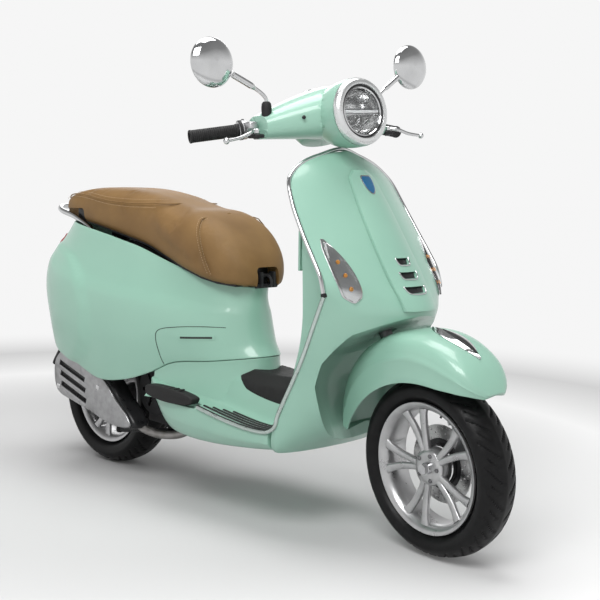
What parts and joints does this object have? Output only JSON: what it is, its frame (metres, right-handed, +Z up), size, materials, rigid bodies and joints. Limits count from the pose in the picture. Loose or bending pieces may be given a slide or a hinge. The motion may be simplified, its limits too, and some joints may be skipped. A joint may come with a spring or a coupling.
{
  "type": "moped scooter",
  "caption": "Step-through moped scooter with a curved leg shield, long saddle, steered front wheel with fender, and a rear engine unit under a rounded body shell.",
  "frame": {"origin": "on the ground under the rear axle, in the scooter's middle plane", "axes": "+X forward, +Y to the rider's left, +Z up; bars turned 8 degrees to the right at rest"},
  "size_m": [1.859, 0.7918, 1.3204],
  "materials": {
    "paint": "gloss pastel green",
    "chrome": "bright plated",
    "alloy": "satin silver",
    "steel": "brushed",
    "black_plastic": "fine texture",
    "rubber": "moulded",
    "tyre": "treaded",
    "seat_cover": "stitched tan cover",
    "clear_lens": "clear",
    "red_lens": "red lens"
  },
  "bodies": {
    "chassis": {"leg_shield": "paint", "horn_cover": "paint", "inner_shield": "paint", "shield_trim": "chrome", "rear_body": "paint", "floor": "paint", "engine_mount": "steel", "seat_tub": "black_plastic", "fuel_tank": "black_plastic", "floor_mat": "rubber", "grab_rail": "chrome", "tail_lamp": "red_lens", "rear_mudguard": "black_plastic", "front_indicator_right": "clear_lens", "front_indicator_left": "clear_lens"},
    "fuel_cap": {"fuel_cap": "black_plastic"},
    "seat": {"seat_base": "black_plastic", "seat_cushion": "seat_cover"},
    "bag_hook": {"bag_hook": "steel"},
    "glove_door": {"glove_door": "paint"},
    "ignition_key": {"ignition_key": "steel"},
    "footrest_right": {"footrest_right": "rubber"},
    "footrest_left": {"footrest_left": "rubber"},
    "steering": {"steering_column": "steel", "front_fender": "paint", "fender_crest": "chrome", "headset": "paint", "instrument": "black_plastic", "headlamp_ring": "chrome", "headlamp": "clear_lens", "switch_housing_right": "alloy", "switch_housing_left": "alloy", "handlebar": "steel", "left_grip": "rubber"},
    "throttle_grip": {"throttle_grip": "rubber"},
    "brake_lever_right": {"brake_lever_right": "chrome"},
    "brake_lever_left": {"brake_lever_left": "chrome"},
    "starter_button": {"starter_button": "black_plastic"},
    "horn_button": {"horn_button": "black_plastic"},
    "mirror_stem_right": {"mirror_stem_right": "chrome"},
    "mirror_head_right": {"mirror_head_right": "chrome"},
    "mirror_stem_left": {"mirror_stem_left": "chrome"},
    "mirror_head_left": {"mirror_head_left": "chrome"},
    "front_arm": {"front_arm": "alloy", "brake_caliper": "black_plastic"},
    "front_wheel": {"front_tyre": "tyre", "front_rim": "alloy", "brake_disc": "steel"},
    "front_damper_upper": {"front_damper_upper": "chrome"},
    "front_damper_lower": {"front_damper_lower": "steel"},
    "engine": {"engine_case": "black_plastic", "fan_cover": "black_plastic", "silencer": "steel", "heat_shield": "alloy"},
    "cooling_fan": {"cooling_fan": "alloy"},
    "rear_wheel": {"rear_tyre": "tyre", "rear_rim": "alloy"},
    "rear_damper_upper": {"rear_damper_upper": "chrome"},
    "rear_damper_lower": {"rear_damper_lower": "steel"},
    "centre_stand": {"centre_stand": "black_plastic"}
  },
  "joints": [
    {"name": "steering_turn", "type": "hinge", "parent": "chassis", "child": "steering", "pos_m": [1.414, 0, 0], "axis": [-0.4305, 0, 0.9026], "range_deg": [-30, 40]},
    {"name": "front_arm_swing", "type": "hinge", "parent": "steering", "child": "front_arm", "pos_m": [1.40334, -0.01049, 0.19678], "axis": [0.1256, 0.9903, 0.0599], "range_deg": [0, 16], "stiffness_Nm_per_rad": 300, "springref_deg": -12.61},
    {"name": "front_wheel_spin", "type": "hinge", "parent": "front_arm", "child": "front_wheel", "pos_m": [1.33377, -0.00367, 0.22999], "axis": [0.1256, 0.9903, 0.0599], "continuous": true},
    {"name": "front_damper_tilt", "type": "hinge", "parent": "steering", "child": "front_damper_upper", "pos_m": [1.27655, 0.11246, 0.40004], "axis": [-0.1256, -0.9903, -0.0599], "range_deg": [0, 10]},
    {"name": "front_damper_slide", "type": "slide", "parent": "front_damper_upper", "child": "front_damper_lower", "axis": [-0.2385, -0.0285, 0.9707], "range_m": [0, 0.025]},
    {"name": "engine_swing", "type": "hinge", "parent": "chassis", "child": "engine", "pos_m": [0.455, 0, 0.262], "axis": [0, 1, 0], "range_deg": [0, 6.5], "stiffness_Nm_per_rad": 3200, "springref_deg": -6.3},
    {"name": "rear_wheel_spin", "type": "hinge", "parent": "engine", "child": "rear_wheel", "pos_m": [0, 0, 0.236], "axis": [0, 1, 0], "continuous": true},
    {"name": "rear_damper_tilt", "type": "hinge", "parent": "chassis", "child": "rear_damper_upper", "pos_m": [-0.122, 0.122, 0.55], "axis": [0, -1, 0], "range_deg": [0, 11]},
    {"name": "rear_damper_slide", "type": "slide", "parent": "rear_damper_upper", "child": "rear_damper_lower", "axis": [-0.2736, 0, 0.9619], "range_m": [0, 0.06]},
    {"name": "cooling_fan_spin", "type": "hinge", "parent": "engine", "child": "cooling_fan", "pos_m": [0.318, -0.08, 0.288], "axis": [0, 1, 0], "continuous": true},
    {"name": "stand_swing", "type": "hinge", "parent": "engine", "child": "centre_stand", "pos_m": [0.352, 0, 0.163], "axis": [0, -1, 0], "range_deg": [0, 75], "stiffness_Nm_per_rad": 2, "springref_deg": -68.75},
    {"name": "seat_lift", "type": "hinge", "parent": "chassis", "child": "seat", "pos_m": [0.708, 0, 0.634], "axis": [0, 1, 0], "range_deg": [0, 55]},
    {"name": "bag_hook_swing", "type": "hinge", "parent": "seat", "child": "bag_hook", "pos_m": [0.706, 0, 0.664], "axis": [0, -1, 0], "range_deg": [0, 60]},
    {"name": "fuel_cap_turn", "type": "hinge", "parent": "chassis", "child": "fuel_cap", "pos_m": [0.02, 0, 0.758], "axis": [0, 0, 1], "range_deg": [0, 90]},
    {"name": "glove_door_swing", "type": "hinge", "parent": "chassis", "child": "glove_door", "pos_m": [0.925, 0, 0.695], "axis": [0, -1, 0], "range_deg": [0, 40]},
    {"name": "ignition_turn", "type": "hinge", "parent": "chassis", "child": "ignition_key", "pos_m": [0.92, -0.052, 0.895], "axis": [1, 0, 0], "range_deg": [0, 90]},
    {"name": "footrest_fold_right", "type": "hinge", "parent": "chassis", "child": "footrest_right", "pos_m": [0.486, -0.208, 0.338], "axis": [-1, 0, 0], "range_deg": [0, 80]},
    {"name": "footrest_fold_left", "type": "hinge", "parent": "chassis", "child": "footrest_left", "pos_m": [0.486, 0.208, 0.338], "axis": [1, 0, 0], "range_deg": [0, 80]},
    {"name": "throttle_turn", "type": "hinge", "parent": "steering", "child": "throttle_grip", "pos_m": [0.8543, -0.20127, 1.06284], "axis": [-0.4444, -0.8827, -0.153], "range_deg": [0, 70], "stiffness_Nm_per_rad": 0.3, "springref_deg": -28.65},
    {"name": "brake_lever_pull_right", "type": "hinge", "parent": "steering", "child": "brake_lever_right", "pos_m": [0.9034, -0.22712, 1.05346], "axis": [0.0038, 0.0599, -0.9982], "range_deg": [0, 16], "stiffness_Nm_per_rad": 1.5, "springref_deg": -17.19},
    {"name": "mirror_stem_turn_right", "type": "hinge", "parent": "steering", "child": "mirror_stem_right", "pos_m": [0.90669, -0.19518, 1.1195], "axis": [-0.0038, -0.0599, 0.9982], "range_deg": [-20, 20]},
    {"name": "mirror_tilt_right", "type": "hinge", "parent": "mirror_stem_right", "child": "mirror_head_right", "pos_m": [0.87281, -0.34633, 1.2185], "axis": [0.1256, 0.9903, 0.0599], "range_deg": [-10, 10]},
    {"name": "brake_lever_pull_left", "type": "hinge", "parent": "steering", "child": "brake_lever_left", "pos_m": [0.96018, 0.22048, 1.08054], "axis": [-0.0038, -0.0599, 0.9982], "range_deg": [0, 16], "stiffness_Nm_per_rad": 1.5, "springref_deg": -17.19},
    {"name": "mirror_stem_turn_left", "type": "hinge", "parent": "steering", "child": "mirror_stem_left", "pos_m": [0.95442, 0.18112, 1.14227], "axis": [-0.0038, -0.0599, 0.9982], "range_deg": [-20, 20]},
    {"name": "mirror_tilt_left", "type": "hinge", "parent": "mirror_stem_left", "child": "mirror_head_left", "pos_m": [0.95773, 0.32309, 1.259], "axis": [0.1256, 0.9903, 0.0599], "range_deg": [-10, 10]},
    {"name": "starter_press", "type": "slide", "parent": "steering", "child": "starter_button", "axis": [0.7042, -0.0465, -0.7085], "range_m": [0, 0.002], "stiffness_N_per_m": 400, "springref_m": -0.003},
    {"name": "horn_press", "type": "slide", "parent": "steering", "child": "horn_button", "axis": [0.7042, -0.0465, -0.7085], "range_m": [0, 0.002], "stiffness_N_per_m": 400, "springref_m": -0.003}
  ],
  "couplings": [
    {"joint": "front_damper_tilt", "follows": "front_arm_swing", "ratio": 0.55},
    {"joint": "front_damper_slide", "follows": "front_arm_swing", "m_per_rad": 0.0745},
    {"joint": "rear_damper_tilt", "follows": "engine_swing", "ratio": 1.37},
    {"joint": "rear_damper_slide", "follows": "engine_swing", "m_per_rad": 0.441}
  ]
}
